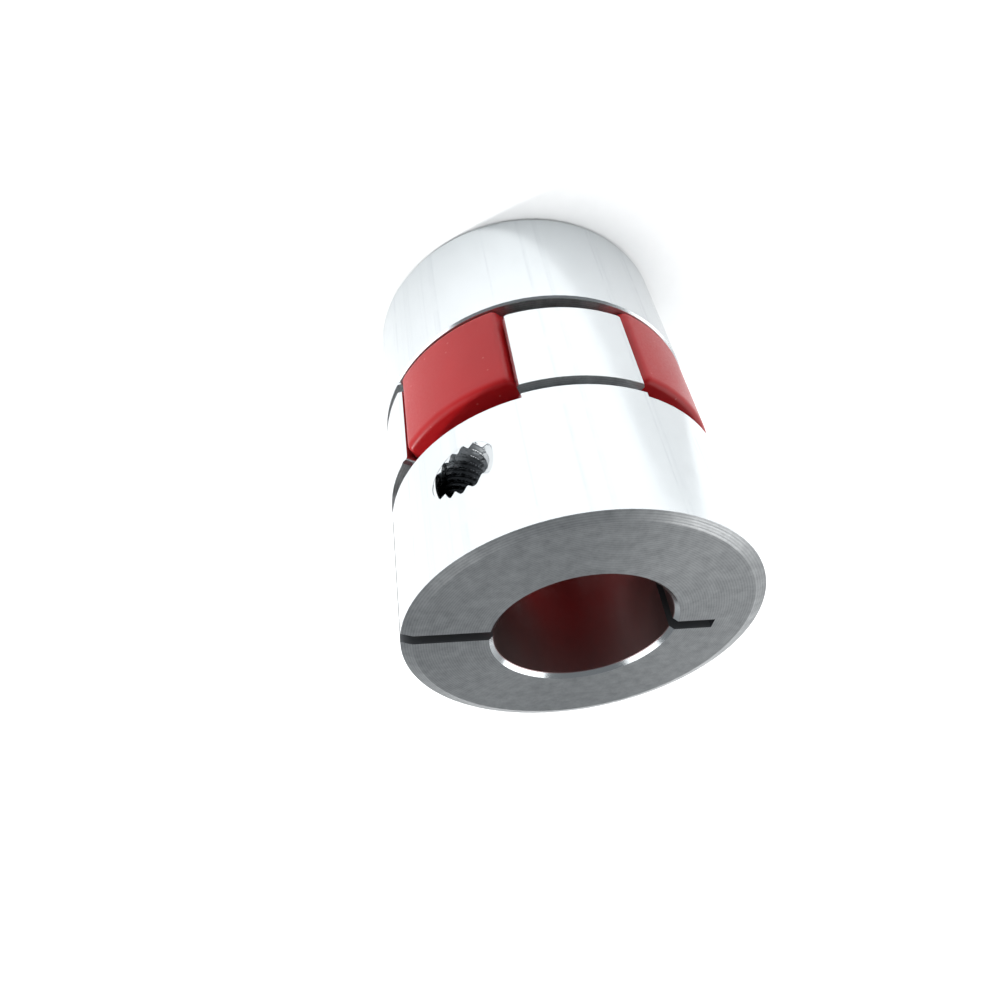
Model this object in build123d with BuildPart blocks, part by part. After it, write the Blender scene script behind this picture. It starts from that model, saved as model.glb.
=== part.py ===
"""Clamp-type jaw coupling: two identical hubs, an elastic spider between their jaws and one clamp screw
in each hub. The coupling stands on its lower hub's end face: origin at the centre of that face, +Z along
the shaft axis. The lower hub's jaws point up, on +X and -X; the upper hub is the same part turned over,
with its jaws on +Y and -Y and its slit open towards +X."""
import os
from math import cos, hypot, radians, sin

from build123d import *

os.makedirs("parts", exist_ok=True)

# Hub, in millimetres
OUTER_D = 20.0           # turned outside diameter of both hubs
BORE_D = 10.0            # shaft bore
BODY_LENGTH = 8.55       # clamping body, from its end face to the root face between the jaws
JAW_HEIGHT = 6.85        # jaw, from the root face to its tip
TIP_GAP = 1.05           # free space from a jaw's tip to the other hub's root face
JAW_ANGLE = 45.0         # angle that each jaw takes up; the spider's legs take up the rest
JAW_RELIEF = 0.4         # the jaws' inner faces stand back from the bore, round the spider's ring
FLANK_BOW = 0.35         # how far a flank bows out of its straight line, into the jaw
END_BEVEL = 0.65         # shallow bevel round the end face: its width on the face
END_DROP = 0.2           # and its height on the outside
BORE_CHAMFER = 0.25
ROOT_EDGE = 0.12         # broken edge round the root face
TIP_ROUND = 0.45         # rounded corners at a jaw's tip
JAW_BEVEL = 0.2          # bevel down a jaw's outer edges
GROOVE_LAND = 0.2        # turned relief groove round the jaws: its height above the root face,
GROOVE_WIDTH = 0.7       # its width
GROOVE_DEPTH = 0.6       # and its depth
SLIT_WIDTH = 0.8         # sawn clamping gap, open at one side of the rim
SLIT_REACH = 7.4         # how far the gap runs past the axis, on its blind side

# Clamp screw, an M3 socket cap screw, and its holes
SCREW_D = 3.0
SCREW_LENGTH = 8.0       # under the head
HEAD_D = 5.5
HEAD_HEIGHT = 3.0
HEAD_CHAMFER = 0.3
SOCKET_FLATS = 2.5       # hex socket, across flats
SOCKET_DEPTH = 1.3
EAR = 3.45               # from the slit to the seat under the head
THREAD_FIT = 0.04        # radial clearance of the thread's outside in the tapped hole
SHANK_FIT = 0.2          # radial clearance of the hole in the plain ear
HEAD_FIT = 0.25          # radial clearance of the head in its pocket
SEAT_FIT = 0.02          # under the head
BORE_WALL = 0.15         # metal left between the tapped hole and the bore
ROOT_WALL = 0.25         # metal left between the head's pocket and the root face

# Spider
RING_HOLE_D = 5.0
RING_FIT = 0.15          # radial clearance of the ring inside the jaws
LEG_FIT = 0.03           # between a leg's flank and a jaw
RIM_INSET = 0.05         # the legs end this far inside the hubs' outside
LEG_BEVEL = 0.3          # broken edge across a leg's outer face, at both ends
SPIDER_THICKNESS = 6.3
SPIDER_REST = 0.05       # the spider lies on the lower hub's root face, this far clear of it

OUTER_R = OUTER_D / 2
BORE_R = BORE_D / 2
JAW_R = BORE_R + JAW_RELIEF
LEG_ANGLE = 90 - JAW_ANGLE
LENGTH = 2 * BODY_LENGTH + JAW_HEIGHT + TIP_GAP
SCREW_R = SCREW_D / 2
POCKET_R = HEAD_D / 2 + HEAD_FIT
SCREW_OFFSET = BORE_R + BORE_WALL + SCREW_R
SCREW_LEVEL = BODY_LENGTH - ROOT_WALL - POCKET_R
SEAT = SLIT_WIDTH / 2 + EAR
PAST_RIM = 1.1 * OUTER_R


def polar(radius, angle):
    """Point in plan at a radius and an angle in degrees."""
    return Vector(radius * cos(radians(angle)), radius * sin(radians(angle)))


def reach(edge):
    """Radius of an edge's middle, in plan."""
    middle = edge @ 0.5
    return hypot(middle.X, middle.Y)


def across(distance):
    """Plane square to the clamp screw, at a distance from the slit, facing the head's side."""
    return Plane(origin=(SCREW_OFFSET, -distance, SCREW_LEVEL), x_dir=(1, 0, 0), z_dir=(0, -1, 0))


# Room for one leg, in plan, pointing along +X: two bowed flanks from the ring to past the rim
with BuildSketch() as leg_room:
    with BuildLine():
        inner, outer = polar(JAW_R, LEG_ANGLE / 2), polar(PAST_RIM, LEG_ANGLE / 2)
        bow = (inner + outer) / 2 + polar(FLANK_BOW, LEG_ANGLE / 2 + 90)
        flank = ThreePointArc(inner, bow, outer)
        mirror(flank, about=Plane.XZ)
        Polyline(outer, (2 * OUTER_R, 0), (outer.X, -outer.Y))
        Polyline(inner, (JAW_R / 2, 0), (inner.X, -inner.Y))
    make_face()

# Hub: end face at z = 0, jaws up on +Y and -Y, slit open to +X, screw head on the -Y side
with BuildPart() as hub:
    with BuildSketch():
        Circle(OUTER_R)
        Circle(BORE_R, mode=Mode.SUBTRACT)
    extrude(amount=BODY_LENGTH)
    end_face = hub.faces().sort_by(Axis.Z)[0]
    mouth, rim = end_face.edges().sort_by(SortBy.RADIUS)
    chamfer(rim, END_BEVEL, END_DROP, reference=end_face)
    chamfer(mouth, BORE_CHAMFER)

    # two jaws: the ring above the root face, less the legs' room and all that lies beyond it
    with BuildSketch(Plane.XY.offset(BODY_LENGTH)):
        Circle(OUTER_R)
        Circle(JAW_R, mode=Mode.SUBTRACT)
        with PolarLocations(0, 4, start_angle=45):
            add(leg_room.sketch, mode=Mode.SUBTRACT)
        with PolarLocations(0, 2):
            Polygon((0, 0), polar(2 * OUTER_R, 45), polar(2 * OUTER_R, -45), align=None, mode=Mode.SUBTRACT)
    extrude(amount=JAW_HEIGHT)
    uprights = hub.edges().filter_by(Axis.Z).group_by(Axis.Z)[-1]
    chamfer([edge for edge in uprights if reach(edge) > (JAW_R + OUTER_R) / 2], JAW_BEVEL)
    tips = hub.faces().group_by(Axis.Z)[-1].edges()
    fillet([edge for edge in tips if JAW_R + TIP_ROUND < reach(edge) < OUTER_R - TIP_ROUND], TIP_ROUND)
    root = hub.edges().filter_by(GeomType.CIRCLE).filter_by_position(Axis.Z, BODY_LENGTH, BODY_LENGTH)
    chamfer([edge for edge in root if reach(edge) > OUTER_R - ROOT_EDGE], ROOT_EDGE)

    # turned groove round the jaws, just above the root face
    with BuildSketch(Plane.XY.offset(BODY_LENGTH + GROOVE_LAND)):
        Circle(PAST_RIM)
        Circle(OUTER_R - GROOVE_DEPTH, mode=Mode.SUBTRACT)
    extrude(amount=GROOVE_WIDTH, mode=Mode.SUBTRACT)

    # sawn slit, right across the bore
    with BuildSketch():
        with Locations((-SLIT_REACH, 0)):
            Rectangle(SLIT_REACH + PAST_RIM, SLIT_WIDTH, align=(Align.MIN, Align.CENTER))
    extrude(amount=BODY_LENGTH, mode=Mode.SUBTRACT)

    # plain hole and the head's pocket in one ear, tapped hole in the other
    with BuildSketch(across(0)):
        Circle(SCREW_R + SHANK_FIT)
    extrude(amount=SEAT, mode=Mode.SUBTRACT)
    with BuildSketch(across(SEAT)):
        Circle(POCKET_R)
    extrude(amount=PAST_RIM, mode=Mode.SUBTRACT)
    with BuildSketch(across(0)):
        Circle(SCREW_R)
    extrude(amount=-PAST_RIM, mode=Mode.SUBTRACT)

# Clamp screw, in its place in the hub
with BuildPart() as clamp_screw:
    with BuildSketch(across(SEAT + SEAT_FIT)):
        Circle(HEAD_D / 2)
    extrude(amount=HEAD_HEIGHT)
    chamfer(clamp_screw.edges().group_by(Axis.Y)[0], HEAD_CHAMFER)
    with BuildSketch(across(SEAT + SEAT_FIT + HEAD_HEIGHT)):
        RegularPolygon(SOCKET_FLATS / 2, 6, major_radius=False)
    extrude(amount=-SOCKET_DEPTH, mode=Mode.SUBTRACT)
    with BuildSketch(across(SEAT + SEAT_FIT)):
        Circle(SCREW_R - THREAD_FIT)
    extrude(amount=-SCREW_LENGTH)

# Spider: a ring and four legs between the jaws, thinner than the space between the root faces
with BuildPart() as spider:
    with BuildSketch(Plane.XY.offset(BODY_LENGTH + SPIDER_REST)):
        with PolarLocations(0, 4, start_angle=45):
            add(leg_room.sketch)
        offset(amount=-LEG_FIT)
        Circle(OUTER_R - RIM_INSET, mode=Mode.INTERSECT)
        Circle(JAW_R - RING_FIT)
        Circle(RING_HOLE_D / 2, mode=Mode.SUBTRACT)
    extrude(amount=SPIDER_THICKNESS)
    rims = spider.edges().filter_by(GeomType.CIRCLE)
    chamfer([edge for edge in rims if reach(edge) > OUTER_R - RIM_INSET - LEG_FIT], LEG_BEVEL)
spider.part.label = "spider"
export_step(spider.part, "parts/spider.step")

# Both hubs and both screws are the same parts, so each is made once and put in its two places
PLACES = {"lower": Location((0, 0, 0), (0, 0, 90)), "upper": Location((0, 0, LENGTH), (180, 0, 0))}
for half, place in PLACES.items():
    for name, source in (("hub", hub), ("clamp_screw", clamp_screw)):
        piece = source.part.moved(place)
        piece.label = f"{half}_{name}"
        export_step(piece, f"parts/{piece.label}.step")
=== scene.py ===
"""Clamp-type jaw coupling, 20 mm across and 25 mm long, on a pale floor: two turned aluminium hubs, a red
polyurethane spider between their jaws and a black cap screw across each hub's slit. Lengths are in
millimetres up to the point where a mesh is made, and in metres from there on."""
from math import copysign, cos, floor, hypot, pi, radians, sin, sqrt

import bmesh
import bpy
from mathutils import Matrix, Vector


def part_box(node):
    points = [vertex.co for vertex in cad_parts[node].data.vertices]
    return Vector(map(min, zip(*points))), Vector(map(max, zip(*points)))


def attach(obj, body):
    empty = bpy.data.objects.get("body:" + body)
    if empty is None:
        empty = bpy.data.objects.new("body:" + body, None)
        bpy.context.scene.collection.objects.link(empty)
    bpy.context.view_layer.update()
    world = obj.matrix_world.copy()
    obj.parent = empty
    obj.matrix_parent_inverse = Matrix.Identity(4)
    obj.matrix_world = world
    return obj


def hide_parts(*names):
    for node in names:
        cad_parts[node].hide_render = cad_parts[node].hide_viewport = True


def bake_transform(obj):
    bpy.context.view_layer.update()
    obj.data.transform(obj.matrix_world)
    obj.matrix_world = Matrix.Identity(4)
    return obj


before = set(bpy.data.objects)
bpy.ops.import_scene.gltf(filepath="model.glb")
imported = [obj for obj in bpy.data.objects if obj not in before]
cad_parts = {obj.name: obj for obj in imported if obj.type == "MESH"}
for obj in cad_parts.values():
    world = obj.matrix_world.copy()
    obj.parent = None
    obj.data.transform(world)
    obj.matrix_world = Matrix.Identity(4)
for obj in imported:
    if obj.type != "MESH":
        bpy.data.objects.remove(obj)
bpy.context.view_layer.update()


# ---- Hubs ----
# Two equal hubs, turned from 6061 aluminium bar, bored, milled to two jaws, sawn across the bore and left
# bright. The CAD nodes have the right shape and stay; this gives them their turned finish.

MM = 0.001
HUB_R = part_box("upper_hub")[1].x / MM
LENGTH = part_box("upper_hub")[1].z / MM
BORE_R = 5.0
SLIT_WIDTH = 0.8
GROOVE_DEPTH = 0.6       # turned relief groove round the jaws
FACING_FEED = 0.14       # spacing of the rings that the facing cut leaves on the end face
TURNING_FEED = 0.11      # spacing of the lines round the outside
HANDLED_PATCH = 1.111    # size of the patches that handling has dulled
NICK_SPACING = 0.769     # between small nicks
BLOTCH = 0.714           # size of the stains on the end face
STREAK_SPACING = 1.1        # spacing of the painted reflection streaks along the outside
RING_STRENGTH = 0.22     # of the even rings, against the uneven ones between them
RING_SHADE = 0.09        # how much of the end face's light and dark comes from its rings


def rgb(code):
    """Linear colour of an sRGB hex value."""
    parts = [int(code[i:i + 2], 16) / 255 for i in (1, 3, 5)]
    return [c / 12.92 if c <= 0.04045 else ((c + 0.055) / 1.055) ** 2.4 for c in parts] + [1.0]


def node(tree, kind, sockets=None, **settings):
    """Adds a node to a tree, with its settings, and with its sockets set, or linked to another's output."""
    made = tree.nodes.new("ShaderNode" + kind)
    for setting, value in settings.items():
        setattr(made, setting, value)
    for socket, value in (sockets or {}).items():
        if isinstance(value, bpy.types.NodeSocket):
            tree.links.new(value, made.inputs[socket])
        else:
            made.inputs[socket].default_value = value
    return made


def finish_of(name):
    """A new material, its tree, and the place of a point on the surface in millimetres."""
    material = bpy.data.materials.new(name)
    material.use_nodes = True
    tree = material.node_tree
    tree.nodes.clear()
    place = node(tree, "TexCoord")
    scaled = node(tree, "VectorMath", {0: place.outputs["Object"], 1: (1 / MM, 1 / MM, 1 / MM)},
                  operation="MULTIPLY")
    return material, tree, scaled.outputs[0]


# Bright turned 6061 aluminium: a fresh cut mirrors its surroundings, drawn out across the tool's lines,
# so the outside shows long soft bands and the faced end is greyer, with rings round the bore
aluminium, tree, millimetres = finish_of("turned_aluminium")

# which surface of the hub it is: an end face, the bore, or a flat or round wall at a known distance from
# the axis, as the slit and the groove have
direction = node(tree, "TexCoord").outputs["Normal"]
axes = node(tree, "SeparateXYZ", {0: millimetres})
plan = node(tree, "CombineXYZ", {"X": axes.outputs["X"], "Y": axes.outputs["Y"]})
radius = node(tree, "VectorMath", {0: plan.outputs[0]}, operation="LENGTH")
normal = node(tree, "SeparateXYZ", {0: direction})
up = node(tree, "Math", {0: normal.outputs["Z"]}, operation="ABSOLUTE")
is_end = node(tree, "MapRange", {"Value": up.outputs[0], "From Min": 0.85, "From Max": 0.95})
is_bore = node(tree, "Math", {0: radius.outputs["Value"], 1: BORE_R + 0.03}, operation="LESS_THAN")
outward = node(tree, "VectorMath", {0: plan.outputs[0], 1: direction}, operation="DOT_PRODUCT")
from_axis = node(tree, "Math", {0: outward.outputs["Value"]}, operation="ABSOLUTE")
in_slit = node(tree, "Math", {0: from_axis.outputs[0], 1: SLIT_WIDTH / 2, 2: 0.02}, operation="COMPARE")
# the turned groove, which gets a rougher gloss and a darker grey as painted shade
in_groove = node(tree, "Math", {0: from_axis.outputs[0], 1: HUB_R - GROOVE_DEPTH, 2: 0.05},
                 operation="COMPARE")
slit_or_groove = node(tree, "Math", {0: in_slit.outputs[0], 1: in_groove.outputs[0]}, operation="MAXIMUM")

# the tool's marks: rings on an end face and lines round the outside, with a few nicks over them
ring_phase = node(tree, "Math", {0: radius.outputs["Value"], 1: 2 * pi / FACING_FEED}, operation="MULTIPLY")
ring = node(tree, "Math", {0: ring_phase.outputs[0]}, operation="SINE")
uneven = node(tree, "TexNoise", {"W": radius.outputs["Value"], "Scale": 0.6 / FACING_FEED, "Detail": 2.0,
                                 "Roughness": 0.7}, noise_dimensions="1D")
rings = node(tree, "Math", {0: ring.outputs[0], 1: RING_STRENGTH, 2: uneven.outputs["Fac"]},
             operation="MULTIPLY_ADD")
lines = node(tree, "TexNoise", {"W": axes.outputs["Z"], "Scale": 1 / TURNING_FEED, "Detail": 2.0,
                                "Roughness": 0.6}, noise_dimensions="1D")
cut = node(tree, "Mix", {"Factor": is_end.outputs[0], 2: lines.outputs["Fac"], 3: rings.outputs[0]},
           data_type="FLOAT")
depth = node(tree, "MapRange", {"Value": is_end.outputs[0], "To Min": 0.06, "To Max": 0.9})
marks = node(tree, "Bump", {"Strength": depth.outputs[0], "Distance": 0.004 * MM, "Height": cut.outputs[0]})
nicks = node(tree, "TexVoronoi", {"Vector": millimetres, "Scale": 1 / NICK_SPACING})
nick = node(tree, "MapRange", {"Value": nicks.outputs["Distance"], "From Min": 0.03, "From Max": 0.07})
dents = node(tree, "Bump", {"Strength": 0.3, "Distance": 0.01 * MM, "Height": nick.outputs[0],
                            "Normal": marks.outputs[0]})

# gloss: highest on the outside, where handling dulls it in patches, and lowest on the sawn walls of the
# slit and in the turned groove
handling = node(tree, "TexNoise", {"Vector": millimetres, "Scale": 1 / HANDLED_PATCH, "Detail": 5.0,
                                   "Roughness": 0.65})
gloss = node(tree, "MapRange", {"Value": handling.outputs["Fac"], "From Min": 0.3, "From Max": 0.7,
                                "To Min": 0.15, "To Max": 0.24})
end_gloss = node(tree, "Mix", {"Factor": is_end.outputs[0], 2: gloss.outputs[0], 3: 0.34},
                 data_type="FLOAT")
bore_gloss = node(tree, "Mix", {"Factor": is_bore.outputs[0], 2: end_gloss.outputs[0], 3: 0.34},
                  data_type="FLOAT")
wall_gloss = node(tree, "Mix", {"Factor": slit_or_groove.outputs[0], 2: bore_gloss.outputs[0], 3: 0.5},
                  data_type="FLOAT")

# painted reflection: faint blue-grey streaks along the outside, broken where handling dulled it
streak_noise = node(tree, "TexNoise", {"Vector": plan.outputs[0], "Scale": 1 / STREAK_SPACING, "Detail": 3.0,
                                "Roughness": 0.75}, noise_dimensions="2D")
reflection_streak = node(tree, "MapRange", {"Value": streak_noise.outputs["Fac"], "From Min": 0.56, "From Max": 0.7,
                              "To Max": 0.3})
on_side = node(tree, "MapRange", {"Value": up.outputs[0], "From Min": 0.1, "From Max": 0.3, "To Min": 1.0,
                                  "To Max": 0.0})
broken = node(tree, "MapRange", {"Value": handling.outputs["Fac"], "From Min": 0.38, "From Max": 0.52})
broken_streaks = node(tree, "Math", {0: reflection_streak.outputs[0], 1: broken.outputs[0]}, operation="MULTIPLY")
rubbed = node(tree, "Math", {0: broken_streaks.outputs[0], 1: on_side.outputs[0]}, operation="MULTIPLY")

# colour: the outside, then the stained end face, the bore with a painted reflection of the spider's red,
# and the sawn walls, with the groove in the same grey as painted shade
tone = node(tree, "Mix", {"Factor": handling.outputs["Fac"], 6: rgb("#C6CACC"), 7: rgb("#D2D6D8")},
            data_type="RGBA")
# painted reflection: the outside takes the blue-grey streaks here
painted_streak_tone = node(tree, "Mix", {"Factor": rubbed.outputs[0], 6: tone.outputs[2], 7: rgb("#A3A9AF")},
                 data_type="RGBA")
blotches = node(tree, "TexNoise", {"Vector": millimetres, "Scale": 1 / BLOTCH, "Detail": 8.0,
                                   "Roughness": 0.7})
faced = node(tree, "Math", {0: ring.outputs[0], 1: RING_SHADE, 2: blotches.outputs["Fac"]},
             operation="MULTIPLY_ADD")
face_shade = node(tree, "MapRange", {"Value": faced.outputs[0], "From Min": 0.25, "From Max": 0.75})
face_tone = node(tree, "Mix", {"Factor": face_shade.outputs[0], 6: rgb("#B2B4B5"), 7: rgb("#DFE1E1")},
                 data_type="RGBA")
clean = node(tree, "Mix", {"Factor": is_end.outputs[0], 6: painted_streak_tone.outputs[2], 7: face_tone.outputs[2]},
             data_type="RGBA")
# painted reflection: the bore's colour is tinted pinkish red, like the spider that it mirrors
bore_red_reflection = node(tree, "Mix", {"Factor": is_bore.outputs[0], 6: clean.outputs[2], 7: rgb("#A08A89")},
            data_type="RGBA")
# the slit's sawn walls take a darker grey of their own; the groove takes the same grey as painted shade
sawn_grey_and_groove_shade = node(tree, "Mix", {"Factor": slit_or_groove.outputs[0], 6: bore_red_reflection.outputs[2], 7: rgb("#85878A")},
            data_type="RGBA")
turned = node(tree, "Tangent", direction_type="RADIAL", axis="Z")
surface = node(tree, "BsdfPrincipled", {"Base Color": sawn_grey_and_groove_shade.outputs[2], "Metallic": 1.0,
                                        "Roughness": wall_gloss.outputs[0], "Anisotropic": 0.6,
                                        "Anisotropic Rotation": 0.25, "Normal": dents.outputs[0],
                                        "Tangent": turned.outputs[0]})
node(tree, "OutputMaterial", {"Surface": surface.outputs[0]})

for half in ("lower", "upper"):
    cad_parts[f"{half}_hub"].material_slots[0].material = aluminium


# ---- Spider ----
# The elastic insert, moulded in one piece from red polyurethane: a ring with four barrel-sided legs, which
# the jaws squeeze from both sides. It is made as four quarters that meet behind the jaws.

RING_HOLE_R = 2.5
RING_R = 5.25
JAW_R = 5.4              # inner faces of the jaws
RIM_R = HUB_R - 0.05
PAST_RIM = 1.1 * HUB_R
HALF_LEG = radians(22.5)
LEG_FIT = 0.03           # between a leg's flank and a jaw
BARREL = 0.35            # how far a flank bows out of its straight line
HALF_FACE = HALF_LEG + 0.008                # the outer face is a little wider, for the flanks' bow
CORNER = 0.45            # rounded edge down each side of a leg's outer face: its width,
CORNER_DROP = 0.8        # its depth as a part of that,
CORNER_BOW = 2.2         # and the power of its curve
FACE_ROUND = 0.4         # moulded edge across a leg's outer face, top and bottom
END_ROUND = 0.16         # moulded edge round the rest of both ends
GRAIN = 0.143            # size of the fine grain that the mould leaves
FLOW = 2.857             # size of the cloudy patches from the melt's flow
DUST_SPACING = 0.909     # between specks of dust
RING_STEPS = 12          # steps of the outline along the ring, on each side of a leg,
FLANK_STEPS = 16         # along a flank, of which only those inside the rim are used,
FACE_STEPS = 48          # across the leg's outer face,
HOLE_STEPS = 30          # and along the ring's hole
LAYERS = 44              # from one end of the spider to the other
SHARP = radians(38)      # edges that turn by more than this stay sharp


def mesh_piece(name, points, faces, material, placed=Matrix.Identity(4)):
    """An object from points in millimetres, turned the right way out and smooth up to the sharp angle."""
    built = bmesh.new()
    corners = [built.verts.new(placed @ (MM * Vector(point))) for point in points]
    for face in faces:
        built.faces.new([corners[i] for i in face])
    bmesh.ops.recalc_face_normals(built, faces=built.faces)
    mesh = bpy.data.meshes.new(name)
    built.to_mesh(mesh)
    built.free()
    mesh.polygons.foreach_set("use_smooth", [True] * len(mesh.polygons))
    mesh.set_sharp_from_angle(angle=SHARP)
    mesh.materials.append(material)
    piece = bpy.data.objects.new(name, mesh)
    bpy.context.scene.collection.objects.link(piece)
    return piece


def skin(rows, start=0, capped=True):
    """Faces between rows of points that follow each other, each a closed loop, and a cap on each end."""
    count = len(rows[0])
    faces = []
    for i in range(len(rows) - 1):
        for j in range(count):
            low, next_low = start + i * count + j, start + i * count + (j + 1) % count
            faces.append((low, next_low, next_low + count, low + count))
    if capped:
        faces.append(tuple(start + j for j in range(count)))
        faces.append(tuple(start + (len(rows) - 1) * count + j for j in range(count)))
    return faces


def leg_outline():
    """Plan of a quarter, leg along +X, from one cut end round the leg to the other and back inside."""
    side = []
    for i in range(RING_STEPS + 1):
        angle = -pi / 4 + i / RING_STEPS * (pi / 4 - HALF_LEG + LEG_FIT / RING_R)
        side.append(("ring", RING_R * cos(angle), RING_R * sin(angle)))
    for i in range(1, FLANK_STEPS):
        along = i / FLANK_STEPS
        out = JAW_R + along * (PAST_RIM - JAW_R)
        aside = BARREL * (1 - (2 * along - 1) ** 2) - LEG_FIT
        x = out * cos(HALF_LEG) - aside * sin(HALF_LEG)
        y = -out * sin(HALF_LEG) - aside * cos(HALF_LEG)
        if hypot(x, y) < RIM_R - 1.1 * CORNER:
            side.append(("flank", x, y))
    face = []
    for i in range(FACE_STEPS + 1):
        angle = HALF_FACE * (2 * i / FACE_STEPS - 1)
        near = max(0.0, CORNER - RIM_R * (HALF_FACE - abs(angle))) / CORNER
        r = RIM_R - CORNER_DROP * CORNER * near ** CORNER_BOW
        face.append(("face", r * cos(angle), r * sin(angle)))
    other_side = [(part, x, -y) for part, x, y in reversed(side)]
    hole = []
    for i in range(HOLE_STEPS + 1):
        angle = pi / 4 - i / HOLE_STEPS * pi / 2
        hole.append(("hole", RING_HOLE_R * cos(angle), RING_HOLE_R * sin(angle)))
    return side + face + other_side + hole


def set_back(part, x, y, inward):
    """Where a point of the outline lies at a distance inward from an end, given the moulded edges."""
    size = FACE_ROUND if part == "face" else END_ROUND
    back = size - sqrt(max(0.0, size ** 2 - max(0.0, size - inward) ** 2))
    if part == "flank":
        return x, y - copysign(back, y)
    if part == "hole":
        back = -back
    shrunk = 1 - back / hypot(x, y)
    return x * shrunk, y * shrunk


# Moulded thermoplastic polyurethane: a deep clear red with a waxy gloss, a faint grain from the mould and
# a little light passing into its thin borders
polyurethane, tree, millimetres = finish_of("moulded_polyurethane")
grain = node(tree, "TexNoise", {"Vector": millimetres, "Scale": 1 / GRAIN, "Detail": 4.0, "Roughness": 0.6})
flow = node(tree, "TexNoise", {"Vector": millimetres, "Scale": 1 / FLOW, "Detail": 3.0})
dust = node(tree, "TexVoronoi", {"Vector": millimetres, "Scale": 1 / DUST_SPACING})
speck = node(tree, "MapRange", {"Value": dust.outputs["Distance"], "From Min": 0.05, "From Max": 0.09,
                                "To Min": 0.2, "To Max": 0.0})
red = node(tree, "Mix", {"Factor": flow.outputs["Fac"], 6: rgb("#9B0D12"), 7: rgb("#A71419")},
           data_type="RGBA")
dusty = node(tree, "Mix", {"Factor": speck.outputs[0], 6: red.outputs[2], 7: rgb("#D98A86")},
             data_type="RGBA")
waxy = node(tree, "MapRange", {"Value": grain.outputs["Fac"], "From Min": 0.3, "From Max": 0.7,
                               "To Min": 0.3, "To Max": 0.42})
relief = node(tree, "Bump", {"Strength": 0.25, "Distance": 0.01 * MM, "Height": grain.outputs["Fac"]})
surface = node(tree, "BsdfPrincipled", {"Base Color": dusty.outputs[2], "Roughness": waxy.outputs[0],
                                        "IOR": 1.45, "Specular IOR Level": 0.32, "Subsurface Weight": 0.12,
                                        "Subsurface Radius": (1.0, 0.15, 0.1), "Subsurface Scale": 0.5 * MM,
                                        "Normal": relief.outputs[0]})
node(tree, "OutputMaterial", {"Surface": surface.outputs[0]})

# one quarter, leg along +X, in layers that lie closer together near its ends, and then its four places
bottom, top = (corner.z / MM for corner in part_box("spider"))
thickness = top - bottom
outline = leg_outline()
rows = []
for layer in range(LAYERS + 1):
    above_bottom = thickness / 2 * (1 - cos(pi * layer / LAYERS))
    inward = min(above_bottom, thickness - above_bottom)
    rows.append([(*set_back(part, x, y, inward), bottom + above_bottom) for part, x, y in outline])
points = [point for row in rows for point in row]
faces = skin(rows)
spider_legs = []
for quarter in range(4):
    azimuth = pi / 4 + quarter * pi / 2
    leg = mesh_piece(f"spider_leg_{quarter + 1}", points, faces, polyurethane,
                     Matrix.Rotation(azimuth, 4, "Z"))
    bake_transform(leg)
    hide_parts("spider")
    spider_legs.append(leg)


# ---- Clamp screws ----
# M3 socket head cap screws, cold headed and thread rolled from alloy steel and blackened. Each lies in its
# hub's ear, with its head in a pocket and its thread in the far ear, and turns on its own axis.

SCREW_OFFSET = 6.65      # screw's axis from the shaft's axis
SCREW_LEVEL = 5.3        # and from the hub's end face
BEARING = 3.87           # under the head, from the slit
SHANK = 8.0
HEAD_R = 2.75
HEAD_HEIGHT = 3.0
SERRATIONS = 40          # straight knurl round the head
SERRATION_DEPTH = 0.07
SERRATION_BOW = 0.7      # power of a groove's curve, which widens its floor
SOCKET_R = 1.25
SOCKET_DEPTH = 1.3
THREAD_PITCH = 0.5
THREAD_R = 1.46
THREAD_DEPTH = 0.29
INSIDE_HEAD = 0.2        # the shank starts this far up in the head
TIP_BEVEL = 0.45
OIL_PATCH = 0.333        # size of the patches where the oil lies thicker
AROUND_HEAD = 24 * SERRATIONS
AROUND_THREAD = 48
ROWS_A_TURN = 12
# The head's outline from the shank, along the seat, up the side, in over the top and down into the socket:
# radius (half the size across flats in the socket), height above the seat, and shape in plan
HEAD_OUTLINE = ((1.3, 0, "round"), (2.5, 0, "round"), (2.62, 0.06, "round"), (2.68, 0.16, "round"),
                (HEAD_R, 0.3, "serrated"), (HEAD_R, 2.55, "serrated"), (2.69, 2.68, "round"),
                (2.62, 2.84, "round"), (2.5, 2.95, "round"), (2.34, HEAD_HEIGHT, "round"),
                (1.08 * SOCKET_R, HEAD_HEIGHT, "hex"), (SOCKET_R, HEAD_HEIGHT - 0.07, "hex"),
                (SOCKET_R, HEAD_HEIGHT - SOCKET_DEPTH, "hex"), (0.1, 1.4, "hex"))

# Black oxide on alloy steel, oiled: near black and half glossy, rubbed to grey in places
black_oxide, tree, millimetres = finish_of("black_oxide_steel")
bloom = node(tree, "TexNoise", {"Vector": millimetres, "Scale": 1 / OIL_PATCH, "Detail": 5.0,
                                "Roughness": 0.7})
rubbed = node(tree, "MapRange", {"Value": bloom.outputs["Fac"], "From Min": 0.58, "From Max": 0.72,
                                 "To Max": 0.3})
oxide = node(tree, "Mix", {"Factor": bloom.outputs["Fac"], 6: rgb("#1B1B1D"), 7: rgb("#343437")},
             data_type="RGBA")
bare = node(tree, "Mix", {"Factor": rubbed.outputs[0], 6: oxide.outputs[2], 7: rgb("#8C8C8E")},
            data_type="RGBA")
oiled = node(tree, "MapRange", {"Value": bloom.outputs["Fac"], "From Min": 0.3, "From Max": 0.7,
                                "To Min": 0.28, "To Max": 0.42})
pitted = node(tree, "Bump", {"Strength": 0.3, "Distance": 0.006 * MM, "Height": bloom.outputs["Fac"]})
surface = node(tree, "BsdfPrincipled", {"Base Color": bare.outputs[2], "Metallic": 0.8,
                                        "Roughness": oiled.outputs[0], "Normal": pitted.outputs[0]})
node(tree, "OutputMaterial", {"Surface": surface.outputs[0]})


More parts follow.
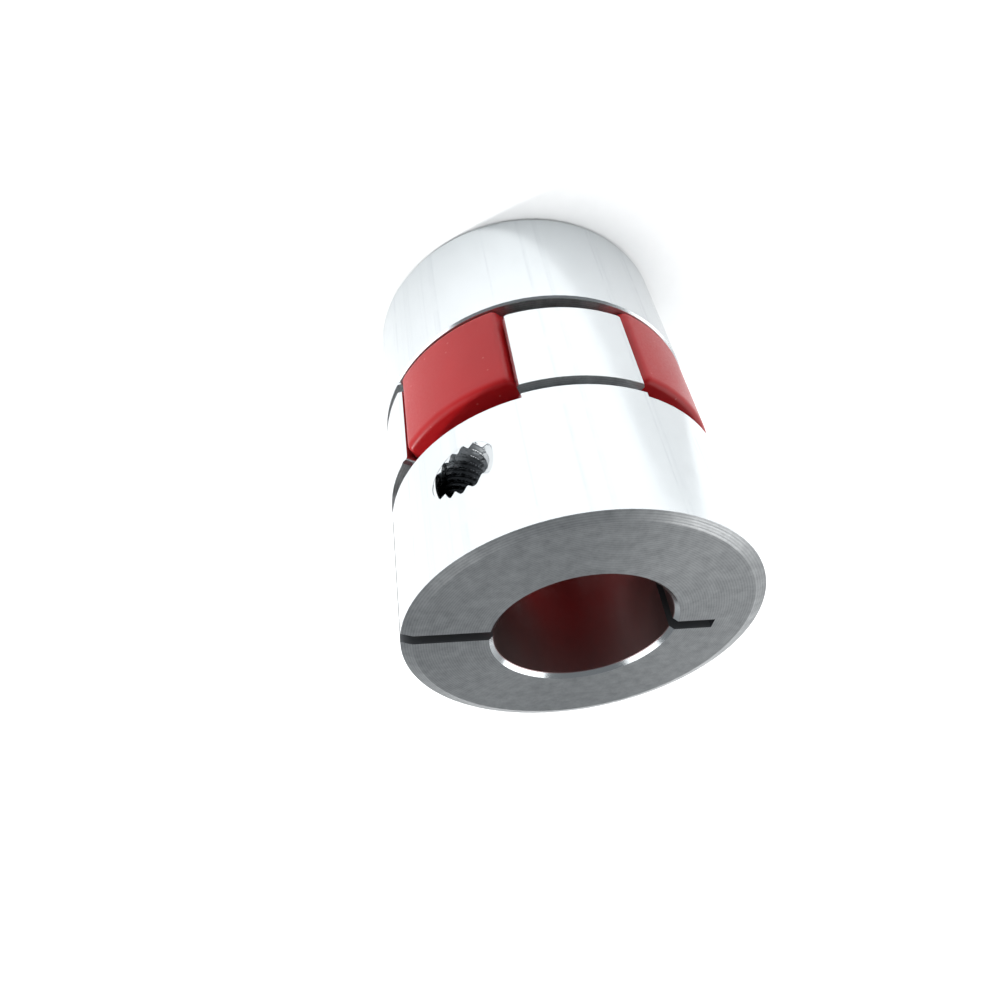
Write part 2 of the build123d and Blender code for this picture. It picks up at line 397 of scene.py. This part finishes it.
def thread_depth(along, angle):
    """Depth of an ISO thread below its crest, from 0 to 1, at a distance along its axis and an angle."""
    phase = along / THREAD_PITCH - angle / (2 * pi)
    from_crest = 2 * abs(phase - floor(phase) - 0.5)
    return min(1.0, max(0.0, (from_crest - 1 / 8) / (1 - 1 / 8 - 1 / 4)))


def hexagon(flats, angle):
    """Radius of a hexagon at an angle, from half its size across flats."""
    return flats / cos(angle % (pi / 3) - pi / 6)


def screw_point(out, angle, along):
    """Point round the screw's axis in the hub's frame, with distance along it measured from the seat."""
    return (SCREW_OFFSET + out * cos(angle), -BEARING - along, SCREW_LEVEL + out * sin(angle))


def head_rows():
    """Rows of points of the head, one round it at each point of its outline."""
    rows = []
    for out, along, shape in HEAD_OUTLINE:
        row = []
        for i in range(AROUND_HEAD):
            angle = 2 * pi * i / AROUND_HEAD
            r = hexagon(out, angle) if shape == "hex" else out
            if shape == "serrated":
                r -= SERRATION_DEPTH * (0.5 - 0.5 * cos(SERRATIONS * angle)) ** SERRATION_BOW
            row.append(screw_point(r, angle, along))
        rows.append(row)
    return rows


def shank_rows():
    """Rows of points of the threaded shank, from inside the head to its bevelled tip."""
    steps = int((SHANK + INSIDE_HEAD) / THREAD_PITCH * ROWS_A_TURN)
    rows = []
    for i in range(steps + 1):
        along = INSIDE_HEAD - (SHANK + INSIDE_HEAD) * i / steps
        widest = THREAD_R - TIP_BEVEL + (SHANK + along)
        row = []
        for k in range(AROUND_THREAD):
            angle = 2 * pi * k / AROUND_THREAD
            r = THREAD_R - THREAD_DEPTH * thread_depth(along, angle)
            row.append(screw_point(min(r, widest), angle, along))
        rows.append(row)
    return rows


# A hub's own frame has its end face at z = 0 and the screw's head on the -Y side; these put it in place
PLACES = {"lower": Matrix.Rotation(pi / 2, 4, "Z"),
          "upper": Matrix.Translation((0, 0, MM * LENGTH)) @ Matrix.Rotation(pi, 4, "X")}

head, shank = head_rows(), shank_rows()
points = [point for row in head + shank for point in row]
faces = skin(head) + skin(shank, start=len(head) * AROUND_HEAD)
for half, placed in PLACES.items():
    screw = mesh_piece(f"{half}_cap_screw", points, faces, black_oxide, placed)
    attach(screw, f"{half}_screw")
    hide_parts(f"{half}_clamp_screw")


# ---- Tapped threads ----
# The far ear of each hub is tapped M3, and the thread runs out through the round side, so its crests show
# as teeth all round the mouth. Each is a thin sleeve of hub metal, from the screw's tip to the outside.

HOLE_R = 1.5
ROOT_R = HOLE_R - 0.01   # the thread's root stands just inside the hole's wall
CREST = 0.27             # and its crest this far inside the root
SLEEVE_R = HOLE_R + 0.03                    # back of the sleeve, within the hub's metal
SLEEVE_START = SHANK - BEARING + 0.1        # just past the screw's tip, from the slit
MOUTH_R = HUB_R - 0.004                     # the mouth lies a hair inside the hub's outside
MOUTH_STEP = 0.002       # how finely the mouth's outline is found
BRIGHT_FROM = HUB_R - 0.9                   # the painted shade inside the hole starts to fade here, on its way out,
BRIGHT_AT = HUB_R - 0.3                     # and is gone from here on
MOTTLE = 0.25             # size of the mottled patches in the painted shade, and of the torn bumps
AROUND_HOLE = 120
ALONG_HOLE = 90

# The same metal, cut by a tap: painted shade makes it dark and mottled inside the hole, fading to its
# bright tone at the mouth
shaded_tapped_aluminium, tree, millimetres = finish_of("shaded_tapped_aluminium")
mottle = node(tree, "TexNoise", {"Vector": millimetres, "Scale": 1 / MOTTLE, "Detail": 4.0, "Roughness": 0.7})
# painted shade: the hole's inside is coloured dark where little light reaches, lighter towards the mouth
painted_hole_shade = node(tree, "Mix", {"Factor": mottle.outputs["Fac"], 6: rgb("#2C2E31"), 7: rgb("#5E6164")},
            data_type="RGBA")
plan = node(tree, "VectorMath", {0: millimetres, 1: (1, 1, 0)}, operation="MULTIPLY")
radius = node(tree, "VectorMath", {0: plan.outputs[0]}, operation="LENGTH")
near_mouth = node(tree, "MapRange", {"Value": radius.outputs["Value"], "From Min": BRIGHT_FROM,
                                     "From Max": BRIGHT_AT})
shade_fading_at_mouth = node(tree, "Mix", {"Factor": near_mouth.outputs[0], 6: painted_hole_shade.outputs[2], 7: rgb("#B9BCBE")},
             data_type="RGBA")
torn = node(tree, "Bump", {"Strength": 0.4, "Distance": 0.01 * MM, "Height": mottle.outputs["Fac"]})
surface = node(tree, "BsdfPrincipled", {"Base Color": shade_fading_at_mouth.outputs[2], "Metallic": 1.0, "Roughness": 0.2,
                                        "Normal": torn.outputs[0]})
node(tree, "OutputMaterial", {"Surface": surface.outputs[0]})


def thread_wall(along, angle):
    """Radius of the tapped hole at a distance from the slit and an angle."""
    return ROOT_R - CREST * (1 - thread_depth(-along - BEARING, angle))


def way_out(out, angle):
    """Distance from the slit at which a line along the hole, at a radius and an angle, leaves the hub."""
    return sqrt(MOUTH_R ** 2 - (SCREW_OFFSET + out * cos(angle)) ** 2)


def tapped_sleeve():
    """Points and faces of a sleeve: the thread inside, then its mouth on the hub's outside, and back."""
    rows = [[] for _ in range(ALONG_HOLE + 3)]
    for k in range(AROUND_HOLE):
        angle = 2 * pi * (k + 0.5) / AROUND_HOLE
        # from the wall inward, the thread's open space starts here
        edge = SLEEVE_R
        while edge > thread_wall(way_out(edge, angle), angle):
            edge -= MOUTH_STEP
        mouth = way_out(edge, angle)
        section = []
        for i in range(ALONG_HOLE + 1):
            along = SLEEVE_START + (mouth - SLEEVE_START) * i / ALONG_HOLE
            out = thread_wall(along, angle)
            if cos(angle) < 0:
                out = max(out, (sqrt(MOUTH_R ** 2 - along ** 2) - SCREW_OFFSET) / cos(angle))
            section.append((min(out, SLEEVE_R), along))
        section += [(SLEEVE_R, way_out(SLEEVE_R, angle)), (SLEEVE_R, SLEEVE_START)]
        for row, (out, y) in zip(rows, section):
            row.append((SCREW_OFFSET + out * cos(angle), y, SCREW_LEVEL + out * sin(angle)))
    points = [point for row in rows for point in row]
    faces = [tuple(i % len(points) for i in face) for face in skin(rows + rows[:1], capped=False)]
    return points, faces


points, faces = tapped_sleeve()
mouth_faces = slice(ALONG_HOLE * AROUND_HOLE, (ALONG_HOLE + 1) * AROUND_HOLE)
for half, placed in PLACES.items():
    sleeve = mesh_piece(f"{half}_tapped_thread", points, faces, shaded_tapped_aluminium, placed)
    sleeve.data.materials.append(aluminium)
    for polygon in sleeve.data.polygons[mouth_faces]:
        polygon.material_index = 1
    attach(sleeve, f"{half}_half")


# ---- Floor, lights and camera ----
# White card in a grey room, which keeps the faced end grey while the outside mirrors the bright card. Soft
# daylight comes from both sides. An overhead light and a low lamp reach the card and the spider only, and
# the low lamp's soft shadow on the card gives the hubs their grey bands.

FLOOR_REACH = 3000.0
FIBRE = 1.111            # size of the card's uneven patches
PANEL_BEARING = radians(150)
PANEL_CORE = radians(25)                    # the panel is even this far to each side of its middle,
PANEL_EDGE = radians(50)                    # and has faded out here
PANEL_LIGHT = 0.22
CAMERA_AT = (11.76, -37.47, 47.68)          # above and in front, looking down at the upper hub's end,
CAMERA_RIGHT = (-0.98562, -0.10677, 0.13094)    # and turned upside down
CAMERA_FORWARD = (-0.16628, 0.74751, -0.6431)

# Uncoated white card: matt, with its fibres only just seen
card, tree, millimetres = finish_of("matt_white_card")
fibre = node(tree, "TexNoise", {"Vector": millimetres, "Scale": 1 / FIBRE, "Detail": 3.0})
white = node(tree, "Mix", {"Factor": fibre.outputs["Fac"], 6: rgb("#EFF0F0"), 7: rgb("#F4F5F5")},
             data_type="RGBA")
surface = node(tree, "BsdfPrincipled", {"Base Color": white.outputs[2], "Roughness": 0.9,
                                        "Specular IOR Level": 0.1})
node(tree, "OutputMaterial", {"Surface": surface.outputs[0]})
corners = [(x * FLOOR_REACH, y * FLOOR_REACH, 0) for x, y in ((-1, -1), (1, -1), (1, 1), (-1, 1))]
ground = mesh_piece("floor", corners, [(0, 1, 2, 3)], card)


def daylight(name, bearing, elevation, strength, spread):
    """A soft sun from a compass bearing, in degrees round from +X, and a height above the horizon."""
    sun = bpy.data.lights.new(name, "SUN")
    sun.energy = strength
    sun.angle = radians(spread)
    lamp = bpy.data.objects.new(name, sun)
    level = cos(radians(elevation))
    toward = Vector((level * cos(radians(bearing)), level * sin(radians(bearing)), sin(radians(elevation))))
    lamp.rotation_euler = toward.to_track_quat("Z", "Y").to_euler()
    bpy.context.scene.collection.objects.link(lamp)
    return lamp


daylight("left_daylight", bearing=184, elevation=34, strength=1.25, spread=50)
daylight("right_daylight", bearing=0, elevation=34, strength=1.25, spread=50)
overhead = daylight("overhead_daylight", bearing=100, elevation=84, strength=2.3, spread=25)
low_lamp = daylight("floor_lamp", bearing=34, elevation=36, strength=2.5, spread=6)
floor_and_spider = bpy.data.collections.new("floor_and_spider")
for lit in (ground, *spider_legs):
    floor_and_spider.objects.link(lit)
for lamp in (overhead, low_lamp):
    lamp.light_linking.receiver_collection = floor_and_spider

# the room: pale near the floor and greyer above, with a broad soft panel of light on one side
world = bpy.data.worlds.new("studio_room")
world.use_nodes = True
tree = world.node_tree
tree.nodes.clear()
toward = node(tree, "SeparateXYZ", {0: node(tree, "TexCoord").outputs["Generated"]})
height = node(tree, "MapRange", {"Value": toward.outputs["Z"], "From Min": 0.02, "From Max": 0.4},
              interpolation_type="SMOOTHSTEP")
room = node(tree, "Mix", {"Factor": height.outputs[0], 6: rgb("#C9CCCE"), 7: rgb("#85888B")},
            data_type="RGBA")
compass = node(tree, "Math", {0: toward.outputs["Y"], 1: toward.outputs["X"]}, operation="ARCTAN2")
aside = node(tree, "Math", {0: compass.outputs[0], 1: PANEL_BEARING}, operation="SUBTRACT")
nearness = node(tree, "Math", {0: aside.outputs[0]}, operation="COSINE")
across = node(tree, "MapRange", {"Value": nearness.outputs[0], "From Min": cos(PANEL_EDGE),
                                 "From Max": cos(PANEL_CORE), "To Max": PANEL_LIGHT},
              interpolation_type="SMOOTHSTEP")
upright = node(tree, "MapRange", {"Value": toward.outputs["Z"], "From Min": 0.55, "From Max": 0.7,
                                  "To Min": 1.0, "To Max": 0.0}, interpolation_type="SMOOTHSTEP")
panel = node(tree, "Math", {0: across.outputs[0], 1: upright.outputs[0]}, operation="MULTIPLY")
lit_room = node(tree, "Mix", {"Factor": 1.0, 6: room.outputs[2], 7: panel.outputs[0]}, data_type="RGBA",
                blend_type="ADD")
sky = node(tree, "Background", {"Color": lit_room.outputs[2], "Strength": 1.0})
node(tree, "OutputWorld", {"Surface": sky.outputs[0]})
bpy.context.scene.world = world
bpy.context.scene.view_settings.view_transform = "Standard"

eye = bpy.data.cameras.new("camera")
eye.sensor_width = 36
eye.lens = 29.46
eye.clip_start = MM
eye.clip_end = 10
camera = bpy.data.objects.new("camera", eye)
right = Vector(CAMERA_RIGHT).normalized()
forward = Vector(CAMERA_FORWARD).normalized()
above = right.cross(forward).normalized()
turn = Matrix((right, above, -forward)).transposed()
camera.matrix_world = Matrix.Translation(MM * Vector(CAMERA_AT)) @ turn.to_4x4()
bpy.context.scene.collection.objects.link(camera)
bpy.context.scene.camera = camera
